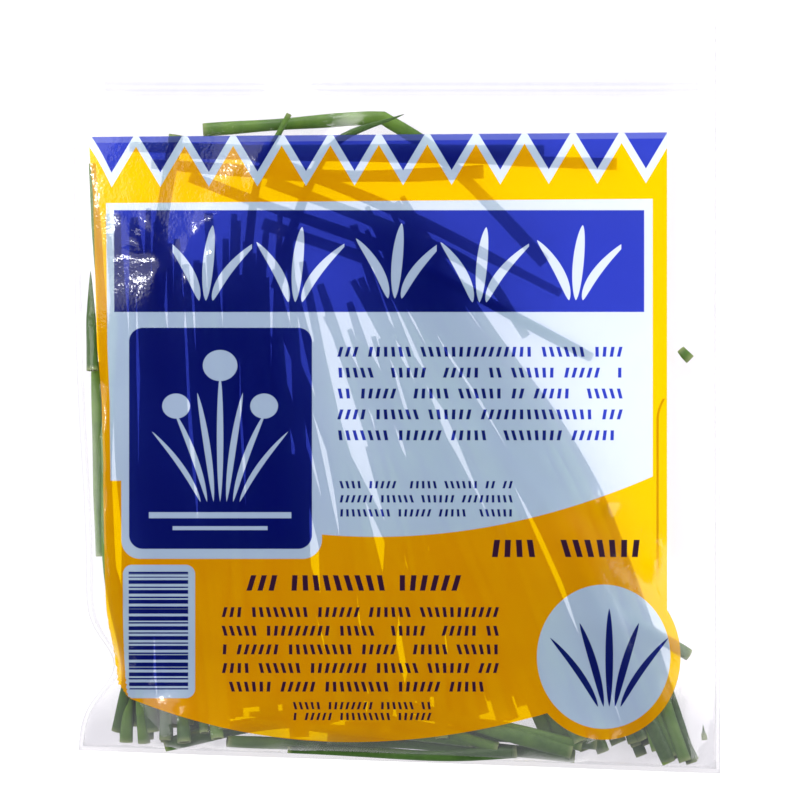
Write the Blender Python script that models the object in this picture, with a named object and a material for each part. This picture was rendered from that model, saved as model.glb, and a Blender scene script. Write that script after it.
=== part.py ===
"""A clear press-to-close pouch of cut chives, lying on its back on a table.

Metres, +Z up. The printed front faces up, the mouth points along +Y, and the origin is the middle of
the pouch's outline at the height of the table. The leaves are laid one after another on the back wall,
each coming to rest on those already there, and the front wall is then drawn over the heap.
"""

import math
import random

import bmesh
import bpy
import numpy as np

MM = 0.001

# Pouch, in metres
WIDTH = 150 * MM
HEIGHT = 178.8 * MM
FILM = 0.4 * MM
SIDE_WELD = 1.2 * MM
BOTTOM_SLOPE = 0.036
EDGE_LIFT = 2.2 * MM
EDGE_REACH = 15 * MM
MOUTH_LIFT = 1.6 * MM
MOUTH_GAP = 0.6 * MM
# How far the left side leans in and is pinched in, where up the pouch, and over what length
LEAN = (2.8 * MM, -45 * MM, 40 * MM)
PINCH = (7.0 * MM, -64.5 * MM, 8 * MM)
# The edges rise and fall a little: how much, and over what lengths along x and y
EDGE_WAVE = 0.5 * MM
EDGE_WAVE_LENGTHS = (19 * MM, 23 * MM)

# Press-to-close strip, in metres
ZIP_Y = 69.8 * MM
ZIP_ENDS = (-67.7 * MM, 69.8 * MM)
TRACK_BASE = 0.4 * MM
TRACK_WIDTH = 4.4 * MM
RIB_STEM = 0.6 * MM
RIB_HEAD = 1.7 * MM
LIP = 0.5 * MM
PLAY = 0.3 * MM
RIB_HEAD_RISE = 0.5 * MM
# From the back wall's inner face to the front wall's: both bases, the hook between them and the gaps
ZIP_STACK = 2 * TRACK_BASE + LIP + RIB_HEAD_RISE + 5 * PLAY

# Leaves, in metres
LEAF_SIDES = 5
SIDES_SWELL = 1.1
CONTROL_STEP = 18 * MM
SAMPLE_STEP = 1 * MM
MOST_DIP = 2.2 * MM
MOST_END_DROP = 4.0 * MM
SETTLE_SWEEPS = 30
LEAST_SHARE = 0.2

# Gaps between pieces, and how far a leaf presses into those of its own bunch, in metres
WALL_GAP = 0.6 * MM
EDGE_MARGIN = 1.2 * MM
LEAF_GAP = 0.6 * MM
SINK = 0.9 * MM

# The pouch's grid, in metres
WELD_TURN = 0.7 * MM
EDGE_ROW = 4.5 * MM
COLUMN_SPACING = 8.4 * MM
ROW_SPACING = 9 * MM
HEADER_ROWS = 2
SLOPE_END = 60 * MM
DRAW_SWEEPS = 400

# The grid that holds the heap's height
CELL = 0.5 * MM
GRID_X = np.arange(-WIDTH / 2, WIDTH / 2 + CELL / 2, CELL)
GRID_Y = np.arange(-HEIGHT / 2, HEIGHT / 2 + CELL / 2, CELL)


def left_edge(y):
    """The left side leans in below the middle and is pinched above the lower corner."""
    x = -WIDTH / 2
    for depth, middle, reach in (LEAN, PINCH):
        x = x + depth * np.exp(-(((y - middle) / reach) ** 2))
    return x


def bottom_edge(x):
    """The folded bottom edge drops a little towards the right."""
    return -HEIGHT / 2 + BOTTOM_SLOPE * (WIDTH / 2 - x)


def ease(t):
    t = np.clip(t, 0, 1)
    return t * t * (3 - 2 * t)


def edge_height(x, y):
    """Height of the welded sides and the folded bottom above the table."""
    along_x, along_y = EDGE_WAVE_LENGTHS
    return EDGE_LIFT + EDGE_WAVE * np.sin(x / along_x + 1) * np.cos(y / along_y)


def back_wall(x, y):
    """Height of the back wall's underside: flat on the table, lifted towards the edges and the mouth."""
    inward = np.minimum(x - left_edge(y), WIDTH / 2 - x)
    inward = np.minimum(inward, y - bottom_edge(x))
    header_foot = ZIP_Y + 1.36 * TRACK_WIDTH / 2
    above_zip = ease((y - header_foot) / (HEIGHT / 2 - header_foot))
    side = edge_height(x, y) * (1 - ease(inward / EDGE_REACH)) * (1 - above_zip)
    return side + MOUTH_LIFT * above_zip


class Heap:
    """The height of the back wall and of every leaf laid so far, on the grid."""

    def __init__(self):
        xs, ys = np.meshgrid(GRID_X, GRID_Y, indexing="ij")
        self.floor = back_wall(xs, ys) + FILM + WALL_GAP
        self.top = np.full_like(self.floor, -1.0)
        self.fence = self.top.copy()
        self.own = self.top.copy()
        self.own_fence = self.top.copy()

    def close_node(self):
        """The leaves laid since the last call become one finished node."""
        self.top = np.maximum(self.top, self.own)
        self.fence = np.maximum(self.fence, self.own_fence)
        self.own = np.full_like(self.floor, -1.0)
        self.own_fence = self.own.copy()

    def around(self, x, y, radius):
        """Cells within a radius of each point: their indices and the round leaf's height over each."""
        reach = int(math.ceil(radius.max() / CELL)) + 1
        steps = np.arange(-reach, reach + 1)
        dx, dy = (a.ravel() for a in np.meshgrid(steps, steps, indexing="ij"))
        ix = np.rint((x - GRID_X[0]) / CELL).astype(int)[:, None] + dx
        iy = np.rint((y - GRID_Y[0]) / CELL).astype(int)[:, None] + dy
        ix = np.clip(ix, 0, len(GRID_X) - 1)
        iy = np.clip(iy, 0, len(GRID_Y) - 1)
        away = (GRID_X[ix] - x[:, None]) ** 2 + (GRID_Y[iy] - y[:, None]) ** 2
        inside = radius[:, None] ** 2 - away
        return ix, iy, np.where(inside > 0, np.sqrt(np.maximum(inside, 0)), -1.0)

    def need(self, x, y, radius):
        """The least height of a leaf's middle at each point."""
        ix, iy, rise = self.around(x, y, radius)
        under = np.maximum(self.floor[ix, iy], self.fence[ix, iy])
        under = np.maximum(under, self.own[ix, iy] - SINK)
        return np.where(rise > 0, under + rise, -1.0).max(axis=1)

    def add(self, x, y, z, radius):
        for surface, grown in ((self.own, radius), (self.own_fence, radius + LEAF_GAP)):
            ix, iy, rise = self.around(x, y, grown)
            covered = np.where(rise > 0, z[:, None] + rise, -1.0)
            np.maximum.at(surface, (ix, iy), covered)

    def lay(self, plan, radii):
        """Lets a leaf down on the heap. plan is its middle line in x and y. Returns points with heights."""
        plan = np.array(plan, float)
        radii = np.array(radii, float)
        lengths = np.hypot(*np.diff(plan, axis=0).T)
        spots, segments, shares = [], [], []
        for k, length in enumerate(lengths):
            steps = max(2, int(length / SAMPLE_STEP))
            share = np.arange(steps + (k == len(lengths) - 1)) / steps
            spots.append(plan[k] + share[:, None] * (plan[k + 1] - plan[k]))
            segments.append(np.full(len(share), k))
            shares.append(share)
        spots, segments, shares = map(np.concatenate, (spots, segments, shares))
        thick = radii[segments] * (1 - shares) + radii[segments + 1] * shares
        need = self.need(spots[:, 0], spots[:, 1], thick)
        z = settle(need, segments, shares, len(plan))
        along = z[segments] * (1 - shares) + z[segments + 1] * shares
        self.add(spots[:, 0], spots[:, 1], along, thick)
        return np.column_stack([plan, z])


def settle(need, segments, shares, count):
    """Heights of a bending leaf's control points: as low as the heap and the leaf's stiffness let them."""
    z = np.full(count, need.max())
    for _ in range(SETTLE_SWEEPS):
        for j in range(count):
            low = -1.0
            for k, weight in ((j - 1, shares), (j, 1 - shares)):
                if not 0 <= k < count - 1:
                    continue
                other = z[j - 1] if k == j - 1 else z[j + 1]
                here = (segments == k) & (weight >= LEAST_SHARE)
                if here.any():
                    part = weight[here]
                    low = max(low, ((need[here] - (1 - part) * other) / part).max())
            if 0 < j < count - 1:
                low = max(low, (z[j - 1] + z[j + 1]) / 2 - MOST_DIP)
            else:
                low = max(low, z[1 if j == 0 else j - 1] - MOST_END_DROP)
            z[j] = low
    along = z[segments] * (1 - shares) + z[np.minimum(segments + 1, count - 1)] * shares
    return z + max(0.0, (need - along).max())


def curve_points(*corners):
    """Evenly spaced points on a smooth curve through corners given in millimetres."""
    corners = np.array(corners, float) * MM
    before = 2 * corners[0] - corners[1]
    after = 2 * corners[-1] - corners[-2]
    line = np.vstack([before, corners, after])
    fine = []
    for a, b, c, d in zip(line, line[1:], line[2:], line[3:]):
        for t in np.arange(10) / 10:
            pull = (-a + 3 * b - 3 * c + d) * t + 2 * a - 5 * b + 4 * c - d
            fine.append(b + 0.5 * t * (c - a + pull * t))
    fine = np.array([*fine, corners[-1]])
    travel = np.concatenate([[0], np.cumsum(np.hypot(*np.diff(fine, axis=0).T))])
    count = max(3, int(round(travel[-1] / CONTROL_STEP)) + 1)
    even = np.linspace(0, travel[-1], count)
    return np.column_stack([np.interp(even, travel, fine[:, i]) for i in (0, 1)])


def radii_along(count, diameter, tip_share):
    """Radii from the cut end to the far end, which is tip_share as thick."""
    along = np.linspace(0, 1, count)
    return diameter * MM / 2 * (1 - (1 - tip_share) * along**2)


def inside_pouch(plan, radius):
    """Moves a leaf's points that come too near the pouch's edge back in, past the pinch as well."""
    plan = np.array(plan)
    margin = radius + SIDE_WELD + EDGE_MARGIN
    plan[:, 1] = np.maximum(plan[:, 1], bottom_edge(plan[:, 0]) + margin + EDGE_MARGIN)
    for reach in (-10 * MM, 0, 10 * MM):
        plan[:, 0] = np.maximum(plan[:, 0], left_edge(plan[:, 1] + reach) + margin)
    plan[:, 0] = np.minimum(plan[:, 0], WIDTH / 2 - margin)
    return plan


# The bunch was picked up in three handfuls. For each, in millimetres: its number of leaves, the line of
# their cut ends, the line of their far ends, how far they bow sideways, and how much they cross.
HANDFULS = (
    dict(seed=3, count=24, cut=((-63, -82), (-20, -75)), far=((-66, 39), (-26, 36)), bow=-2, stray=0.25),
    dict(seed=5, count=20, cut=((-30, -76), (30, -75)), far=((-38, 34), (-5, 15)), bow=3, stray=0.2),
    dict(seed=8, count=22, cut=((36, -82), (70, -87)), far=((-9, 38), (3, 43)), bow=8, stray=0.25),
)

# Single leaves that show through the clear film or as shadows behind the print, in millimetres:
# the middle line from the cut end, the diameter, and how thick the far end is beside the cut end.
SINGLE_LEAVES = {
    "chive_top_row_1": (((34, 55), (-15, 55), (-62, 56)), 2.4, 0.8),
    "chive_top_row_2": (((51, 52), (10, 53), (-48, 54)), 2.2, 0.7),
    "chive_top_row_3": (((20, 50), (-12, 49), (-57, 52)), 2.6, 0.8),
    "chive_top_row_4": (((-36, 55), (0, 41), (38, 22)), 2.4, 0.7),
    "chive_top_row_5": (((-30, 48), (-4, 38), (19, 27), (30, 12)), 2.4, 0.8),
    "chive_top_row_6": (((-48, 49), (-28, 41.5), (0, 31.5), (15, 24)), 2.2, 0.8),
    "chive_top_row_7": (((-31, 38), (-12, 31.5), (2, 26.5), (18, 19)), 2.4, 0.8),
    "chive_panel_slant": (((45, 7), (26, 17), (7, 28)), 2.0, 0.9),
    "chive_upright_top": (((-51, 58.5), (-53, 46.5), (-55, 32.6), (-56, 14)), 2.6, 0.9),
    "chive_thin_top": (((-35, 18), (-34.3, 32), (-32.7, 45), (-29, 55.7), (-24.8, 63)), 1.8, 0.6),
    "chive_crossing_top": (((-28, 23), (-24, 37), (-19, 47.6), (-13, 57.4), (1.6, 63.2)), 2.2, 0.4),
    "chive_left_edge_1": (((-67, -2), (-68, 14), (-69.3, 32.6), (-70.6, 52)), 2.2, 0.6),
    "chive_left_edge_2": (((-69, -39), (-69, -18), (-69.5, 6)), 2.2, 0.9),
    "chive_left_edge_3": (((-68, -51), (-68, -32), (-67.6, -11)), 2.0, 0.8),
    "chive_left_edge_4": (((-70, 4), (-70.6, 15), (-71, 27)), 2.2, 0.5),
    "chive_right_end": (((67.5, -61.8), (57.5, -55.5), (47, -48.6)), 2.2, 0.9),
    "chive_bottom_slant": (((-53.5, -83.5), (-39, -78.5), (-15, -76)), 2.8, 0.9),
    "chive_bottom_row_1": (((-6, -84), (-22, -82.5), (-39, -81.2)), 2.4, 0.9),
    "chive_bottom_row_2": (((41, -85), (15, -82.8), (-16, -81)), 2.6, 0.9),
    "chive_bottom_row_3": (((46, -82), (17, -79.5), (-12, -78)), 2.4, 0.8),
    "chive_crumb_side": (((68, 6.6), (66.8, 7.8), (65.8, 9)), 2.0, 0.8),
    "chive_crumb_corner": (((71.2, -81.5), (71, -79.8), (70.9, -78)), 1.6, 0.4),
}

# The leaf that folds over at the top: its two straight lengths meet in a sharp crease.
BENT_LEAF = ((34.3, 29), (26, 38), (17, 47.2), (8.6, 55), (-1.5, 61.5), (-5.5, 62.6), (-23, 61.4), (-45, 59.8))
BENT_LEAF_DIAMETER = 2.6


def handful_leaves(seed, count, cut, far, bow, stray):
    """Plans and radii of a handful's leaves, spread evenly and laid in a shuffled order."""
    draw = random.Random(seed)
    order = list(range(count))
    draw.shuffle(order)
    cut, far = np.array(cut, float), np.array(far, float)
    for place in order:
        share = (place + draw.uniform(0.2, 0.8)) / count
        across = min(1, max(0, share + draw.uniform(-stray, stray)))
        start = cut[0] + share * (cut[1] - cut[0]) + (draw.uniform(-1, 1), draw.uniform(-2, 4))
        end = far[0] + across * (far[1] - far[0]) + (draw.uniform(-2, 2), draw.uniform(-14, 5))
        side = np.array([end[1] - start[1], start[0] - end[0]])
        side /= np.hypot(*side)
        middle = (start + end) / 2 + side * (bow * share + draw.uniform(-3, 3))
        diameter = draw.uniform(2.1, 2.9)
        plan = inside_pouch(curve_points(start, middle, end), diameter * MM / 2)
        yield plan, radii_along(len(plan), diameter, draw.uniform(0.6, 0.95))


def material(name, colour, roughness, alpha=1.0):
    made = bpy.data.materials.new(name)
    made.use_nodes = True
    shader = made.node_tree.nodes["Principled BSDF"]
    shader.inputs["Base Color"].default_value = (*colour, 1)
    shader.inputs["Roughness"].default_value = roughness
    shader.inputs["Metallic"].default_value = 0.0
    shader.inputs["Alpha"].default_value = alpha
    return made


def mesh_object(name, mesh, finish):
    made = bpy.data.objects.new(name, mesh)
    bpy.context.scene.collection.objects.link(made)
    made.data.materials.append(finish)
    return made


def leaf_mesh(name, points, radii):
    """A closed tube with a flat cut at each end. Its rings stand square to the leaf."""
    mesh = bpy.data.meshes.new(name)
    work = bmesh.new()
    ahead = np.gradient(points, axis=0)
    ahead /= np.linalg.norm(ahead, axis=1)[:, None]
    rings = []
    for middle, forward, radius in zip(points, ahead, radii):
        side = np.cross(forward, (0, 0, 1))
        side /= np.linalg.norm(side)
        up = np.cross(side, forward)
        ring = []
        for k in range(LEAF_SIDES):
            turn = 2 * math.pi * (k + 0.5) / LEAF_SIDES
            around = math.cos(turn) * side + math.sin(turn) * up
            ring.append(work.verts.new(middle + SIDES_SWELL * radius * around))
        rings.append(ring)
    for near, beyond in zip(rings, rings[1:]):
        for k in range(LEAF_SIDES):
            after = (k + 1) % LEAF_SIDES
            work.faces.new((near[k], near[after], beyond[after], beyond[k]))
    work.faces.new(rings[0][::-1])
    work.faces.new(rings[-1])
    bmesh.ops.recalc_face_normals(work, faces=work.faces)
    work.to_mesh(mesh)
    work.free()
    mesh.shade_smooth()
    mesh.set_sharp_from_angle(angle=math.radians(60))
    return mesh


def drop_loose_scraps(obj):
    """Keeps the largest connected body of the fused leaves."""
    work = bmesh.new()
    work.from_mesh(obj.data)
    left = set(work.verts)
    bodies = []
    while left:
        seed = left.pop()
        body, edge = {seed}, [seed]
        while edge:
            for link in edge.pop().link_edges:
                for vert in link.verts:
                    if vert not in body:
                        body.add(vert)
                        edge.append(vert)
        left -= body
        bodies.append(body)
    biggest = max(bodies, key=len)
    loose = [v for body in bodies if body is not biggest for v in body]
    bmesh.ops.delete(work, geom=loose, context="VERTS")
    work.to_mesh(obj.data)
    work.free()


def fuse(name, meshes, finish):
    """Joins the leaves where they touch, into one body."""
    helpers = bpy.data.collections.new(name + "_leaves")
    bpy.context.scene.collection.children.link(helpers)
    base = mesh_object(name, meshes[0], finish)
    for mesh in meshes[1:]:
        helper = bpy.data.objects.new(mesh.name, mesh)
        helpers.objects.link(helper)
    join = base.modifiers.new("Join leaves", "BOOLEAN")
    join.operation = "UNION"
    join.operand_type = "COLLECTION"
    join.collection = helpers
    join.solver = "MANIFOLD"
    graph = bpy.context.evaluated_depsgraph_get()
    joined = bpy.data.meshes.new_from_object(base.evaluated_get(graph))
    base.modifiers.clear()
    base.data = joined
    for helper in list(helpers.objects):
        bpy.data.objects.remove(helper)
    bpy.data.collections.remove(helpers)
    drop_loose_scraps(base)
    return base


def lay_chives(heap):
    """Builds every leaf, from the table up."""
    green = material("chive_green", (0.09, 0.22, 0.035), 0.45)
    meshes = []
    for handful in HANDFULS:
        for plan, radii in handful_leaves(**handful):
            meshes.append(leaf_mesh("chive_leaf", heap.lay(plan, radii), radii))
    heap.close_node()
    fuse("chive_bunch", meshes, green)
    plan = np.array(BENT_LEAF) * MM
    radii = radii_along(len(plan), BENT_LEAF_DIAMETER, 1.0)
    points = heap.lay(plan, radii)
    mesh_object("chive_bent_top", leaf_mesh("chive_bent_top", points, radii), green)
    heap.close_node()
    for name, (line, diameter, tip_share) in SINGLE_LEAVES.items():
        plan = inside_pouch(curve_points(*line), diameter * MM / 2)
        radii = radii_along(len(plan), diameter, tip_share)
        mesh_object(name, leaf_mesh(name, heap.lay(plan, radii), radii), green)
        heap.close_node()


def grid_lines(low, high, near_edge, spacing):
    """Positions from low to high: close together by both ends, evenly spaced between."""
    near = np.array(near_edge)
    count = int(round((high - low - 2 * near[-1]) / spacing))
    inner = np.linspace(low + near[-1], high - near[-1], count + 1)
    return np.concatenate([low + near[:-1], inner, (high - near[:-1])[::-1]])


def pouch_grid():
    """The pouch's own grid: columns across it and rows up it, as x and y of every crossing."""
    near_edge = (0, SIDE_WELD, SIDE_WELD + WELD_TURN, EDGE_ROW, 2 * EDGE_ROW)
    columns = grid_lines(-WIDTH / 2, WIDTH / 2, near_edge, COLUMN_SPACING)
    zip_rows = ZIP_Y + np.array([-2.5, -1.36, 1.36, 2.5]) * TRACK_WIDTH / 2
    lower = grid_lines(-HEIGHT / 2, zip_rows[0], near_edge, ROW_SPACING)[: -len(near_edge)]
    upper = np.linspace(zip_rows[-1], HEIGHT / 2, HEADER_ROWS + 1)[1:]
    rows = np.concatenate([lower, zip_rows, upper])
    us, vs = np.meshgrid(columns, rows, indexing="ij")
    fade = np.clip((SLOPE_END - vs) / (SLOPE_END + HEIGHT / 2), 0, 1)
    ys = vs + (bottom_edge(us) + HEIGHT / 2) * fade
    left = left_edge(ys)
    xs = left + (us + WIDTH / 2) / WIDTH * (WIDTH / 2 - left)
    return rows, xs, ys


def draw_tight(least, xs, ys):
    """Film drawn over the heap: nowhere lower than least, straight between what it touches."""
    height = least.copy()
    step_x = np.diff(xs, axis=0)[:, 2:-1]
    step_y = np.diff(ys, axis=1)[2:-2]
    inner = (slice(2, -2), slice(2, -1))
    for _ in range(DRAW_SWEEPS):
        before, after = step_x[1:-2], step_x[2:-1]
        across = (height[1:-3, 2:-1] * after + height[3:-1, 2:-1] * before) / (before + after)
        below, above = step_y[:, 1:-1], step_y[:, 2:]
        along = (height[2:-2, 1:-2] * above + height[2:-2, 3:] * below) / (below + above)
        height[inner] = np.maximum(least[inner], (across + along) / 2)
    return height


def front_wall(heap, rows, xs, ys, below):
    """Height of the front wall's inner face. It meets the back wall at the welds and the bottom."""
    least = below + FILM + MOUTH_GAP
    on_zip = np.abs(rows - ZIP_Y) < 1.5 * TRACK_WIDTH / 2
    over_zip = on_zip[None, :] & (xs > ZIP_ENDS[0] - EDGE_ROW) & (xs < ZIP_ENDS[1] + EDGE_ROW)
    least = np.where(over_zip, below + FILM + ZIP_STACK, least)
    covered = heap.top + WALL_GAP
    for i in range(2, len(xs) - 2):
        in_x = (GRID_X >= xs[i - 1].min()) & (GRID_X <= xs[i + 1].max())
        for j in range(2, len(rows)):
            top_row = ys[i, min(j + 1, len(rows) - 1)]
            in_y = (GRID_Y >= ys[i, j - 1] - CELL) & (GRID_Y <= top_row + CELL)
            found = covered[np.ix_(in_x, in_y)]
            least[i, j] = max(least[i, j], found.max(initial=-1.0))
    for weld in (np.s_[:2], np.s_[-2:], np.s_[:, :2]):
        least[weld] = below[weld] + FILM
    return draw_tight(least, xs, ys)


def sheet_normals(xs, ys, zs):
    """Upward normals of a gridded sheet."""
    place = np.dstack([xs, ys, zs])
    square = np.cross(np.gradient(place, axis=0), np.gradient(place, axis=1))
    return square / np.linalg.norm(square, axis=2)[:, :, None]


def build_pouch(heap):
    """One piece of clear film: folded at the bottom, welded at the sides, open at the mouth.

    Returns the columns' x along the zip, and the height of the back wall's inner face there.
    """
    rows, xs, ys = pouch_grid()
    below = back_wall(xs, ys)
    above = front_wall(heap, rows, xs, ys, below)
    place_in = np.dstack([xs, ys, above])
    place_out = place_in + FILM * sheet_normals(xs, ys, above)
    # Welded margins and the mouth's rim keep the outline of the back wall.
    for edge in (np.s_[:2], np.s_[-2:], np.s_[:, :2], np.s_[:, -1:]):
        place_out[edge] = place_in[edge] + (0, 0, FILM)
    work = bmesh.new()
    nx, ny = xs.shape

    def sheet(place, i_range, j_range):
        return {(i, j): work.verts.new(place[i, j]) for i in i_range for j in j_range}

    back_out = sheet(np.dstack([xs, ys, below]), range(nx), range(ny))
    front_out = sheet(place_out, range(nx), range(ny))
    back_in = sheet(np.dstack([xs, ys, below + FILM]), range(1, nx - 1), range(1, ny))
    front_in = sheet(place_in, range(2, nx - 2), range(2, ny))
    # Along the welds both inner faces share their points.
    for key, vert in back_in.items():
        front_in.setdefault(key, vert)

    def quads(net, i_range, j_range):
        for i in i_range:
            for j in j_range:
                work.faces.new((net[i, j], net[i + 1, j], net[i + 1, j + 1], net[i, j + 1]))

    quads(back_out, range(nx - 1), range(ny - 1))
    quads(front_out, range(nx - 1), range(ny - 1))
    quads(back_in, range(1, nx - 2), range(1, ny - 1))
    quads(front_in, range(1, nx - 2), range(1, ny - 1))
    for i in range(nx - 1):
        work.faces.new((back_out[i, 0], back_out[i + 1, 0], front_out[i + 1, 0], front_out[i, 0]))
    for j in range(ny - 1):
        for i in (0, nx - 1):
            work.faces.new((back_out[i, j], back_out[i, j + 1], front_out[i, j + 1], front_out[i, j]))
    rim = ny - 1
    for i in range(1, nx - 2):
        work.faces.new((back_out[i, rim], back_out[i + 1, rim], back_in[i + 1, rim], back_in[i, rim]))
        work.faces.new((front_in[i, rim], front_in[i + 1, rim], front_out[i + 1, rim], front_out[i, rim]))
    for i, weld in ((0, 1), (nx - 1, nx - 2)):
        low, high = back_out[weld, rim], front_out[weld, rim]
        work.faces.new((back_out[i, rim], low, back_in[weld, rim], high, front_out[i, rim]))
    bmesh.ops.recalc_face_normals(work, faces=work.faces)
    mesh = bpy.data.meshes.new("pouch_film")
    work.to_mesh(mesh)
    work.free()
    mesh.shade_smooth()
    mesh.set_sharp_from_angle(angle=math.radians(50))
    mesh_object("pouch_film", mesh, material("clear_film", (0.9, 0.93, 0.95), 0.12, 0.25))
    at_zip = np.argmin(np.abs(rows - ZIP_Y))
    return xs[:, at_zip], below[:, at_zip] + FILM


def strip(name, outline, columns, floor, finish):
    """A long strip of one section, outline in y and z, that follows the back wall from end to end."""
    lifted = WIDTH / 2 - EDGE_REACH - COLUMN_SPACING
    stops = [x for x in columns if ZIP_ENDS[0] < x < ZIP_ENDS[1] and abs(x) > lifted]
    stops = [ZIP_ENDS[0], *stops, ZIP_ENDS[1]]
    work = bmesh.new()
    rings = []
    for x in stops:
        base = np.interp(x, columns, floor)
        rings.append([work.verts.new((x, ZIP_Y + y, base + z)) for y, z in outline])
    for near, beyond in zip(rings, rings[1:]):
        for k in range(len(outline)):
            after = (k + 1) % len(outline)
            work.faces.new((near[k], near[after], beyond[after], beyond[k]))
    work.faces.new(rings[0])
    work.faces.new(rings[-1])
    bmesh.ops.recalc_face_normals(work, faces=work.faces)
    mesh = bpy.data.meshes.new(name)
    work.to_mesh(mesh)
    work.free()
    mesh_object(name, mesh, finish)


def mirrored(half):
    """A closed section from its right half, which starts and ends on the middle line."""
    return half + [(-y, z) for y, z in half[::-1] if y > 0]


def build_zip(columns, floor):
    """The press-to-close strip: a rib on the back wall held by a channel on the front wall."""
    finish = material("zip_plastic", (0.72, 0.8, 0.86), 0.3)
    half_base = TRACK_WIDTH / 2
    base_top = PLAY + TRACK_BASE
    lip_low = base_top + PLAY
    lip_high = lip_low + LIP
    head_low = lip_high + PLAY
    head_high = head_low + RIB_HEAD_RISE
    roof = head_high + PLAY
    rib = [(0, PLAY), (half_base, PLAY), (half_base, base_top), (RIB_STEM / 2, base_top)]
    rib += [(RIB_STEM / 2, head_low), (RIB_HEAD / 2, head_low), (RIB_HEAD / 2, head_high), (0, head_high)]
    inside = RIB_HEAD / 2 + PLAY
    channel = [(0, roof), (inside, roof), (inside, lip_high), (RIB_STEM / 2 + PLAY, lip_high)]
    channel += [(RIB_STEM / 2 + PLAY, lip_low), (inside + LIP, lip_low), (inside + LIP, roof)]
    channel += [(half_base, roof), (half_base, roof + TRACK_BASE), (0, roof + TRACK_BASE)]
    strip("zip_rib", mirrored(rib), columns, floor, finish)
    strip("zip_channel", mirrored(channel), columns, floor, finish)


def main():
    for obj in list(bpy.data.objects):
        bpy.data.objects.remove(obj)
    heap = Heap()
    lay_chives(heap)
    build_zip(*build_pouch(heap))


main()
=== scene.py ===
import math
import random

import bpy
import numpy as np
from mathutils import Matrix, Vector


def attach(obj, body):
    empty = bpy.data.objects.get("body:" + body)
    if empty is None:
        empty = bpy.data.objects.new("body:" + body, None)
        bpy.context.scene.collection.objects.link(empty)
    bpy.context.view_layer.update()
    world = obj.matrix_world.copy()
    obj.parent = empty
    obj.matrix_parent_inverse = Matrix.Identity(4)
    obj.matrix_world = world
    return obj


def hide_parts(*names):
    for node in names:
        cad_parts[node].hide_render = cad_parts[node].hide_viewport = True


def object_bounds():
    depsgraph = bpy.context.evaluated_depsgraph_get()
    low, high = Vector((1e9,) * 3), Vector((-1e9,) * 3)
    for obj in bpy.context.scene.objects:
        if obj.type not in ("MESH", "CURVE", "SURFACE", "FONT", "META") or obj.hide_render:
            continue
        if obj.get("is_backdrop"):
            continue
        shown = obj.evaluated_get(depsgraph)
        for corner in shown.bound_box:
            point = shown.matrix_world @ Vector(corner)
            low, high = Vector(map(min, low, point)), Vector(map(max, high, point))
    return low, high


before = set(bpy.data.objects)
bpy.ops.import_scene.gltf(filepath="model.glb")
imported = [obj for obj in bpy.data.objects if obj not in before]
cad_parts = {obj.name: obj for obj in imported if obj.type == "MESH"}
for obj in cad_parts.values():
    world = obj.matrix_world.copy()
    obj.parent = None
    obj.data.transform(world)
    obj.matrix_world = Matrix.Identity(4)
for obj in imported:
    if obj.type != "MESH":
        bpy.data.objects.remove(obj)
cad_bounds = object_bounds()
MM = 0.001


# The pouch's shape on the table. It is one web of clear plastic film, folded over at the bottom and
# welded along both sides. The back wall lies flat under the leaves and lifts towards the edges.
POUCH_WIDTH = 150 * MM
POUCH_HEIGHT = 178.8 * MM
LEAN = (2.8 * MM, -45 * MM, 40 * MM)
PINCH = (7.0 * MM, -64.5 * MM, 8 * MM)
BOTTOM_SLOPE = 0.036
SLOPE_END = 60 * MM
EDGE_LIFT = 2.2 * MM
EDGE_WAVE = 0.5 * MM
EDGE_WAVE_LENGTHS = (19 * MM, 23 * MM)
EDGE_REACH = 15 * MM
MOUTH_LIFT = 1.6 * MM
FILM = 0.08 * MM
ZIP_Y = 69.8 * MM
HEADER_FOOT = ZIP_Y + 3 * MM


def ease(t):
    t = np.clip(t, 0, 1)
    return t * t * (3 - 2 * t)


def left_edge(y):
    """The left side leans in below the middle and is pinched above the lower corner."""
    x = -POUCH_WIDTH / 2
    for depth, middle, reach in (LEAN, PINCH):
        x = x + depth * np.exp(-(((y - middle) / reach) ** 2))
    return x


def bottom_edge(x):
    return -POUCH_HEIGHT / 2 + BOTTOM_SLOPE * (POUCH_WIDTH / 2 - x)


def back_wall(x, y):
    """Height of the back wall's underside."""
    along_x, along_y = EDGE_WAVE_LENGTHS
    edge = EDGE_LIFT + EDGE_WAVE * np.sin(x / along_x + 1) * np.cos(y / along_y)
    inward = np.minimum(x - left_edge(y), POUCH_WIDTH / 2 - x)
    inward = np.minimum(inward, y - bottom_edge(x))
    above_zip = ease((y - HEADER_FOOT) / (POUCH_HEIGHT / 2 - HEADER_FOOT))
    return edge * (1 - ease(inward / EDGE_REACH)) * (1 - above_zip) + MOUTH_LIFT * above_zip


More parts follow.
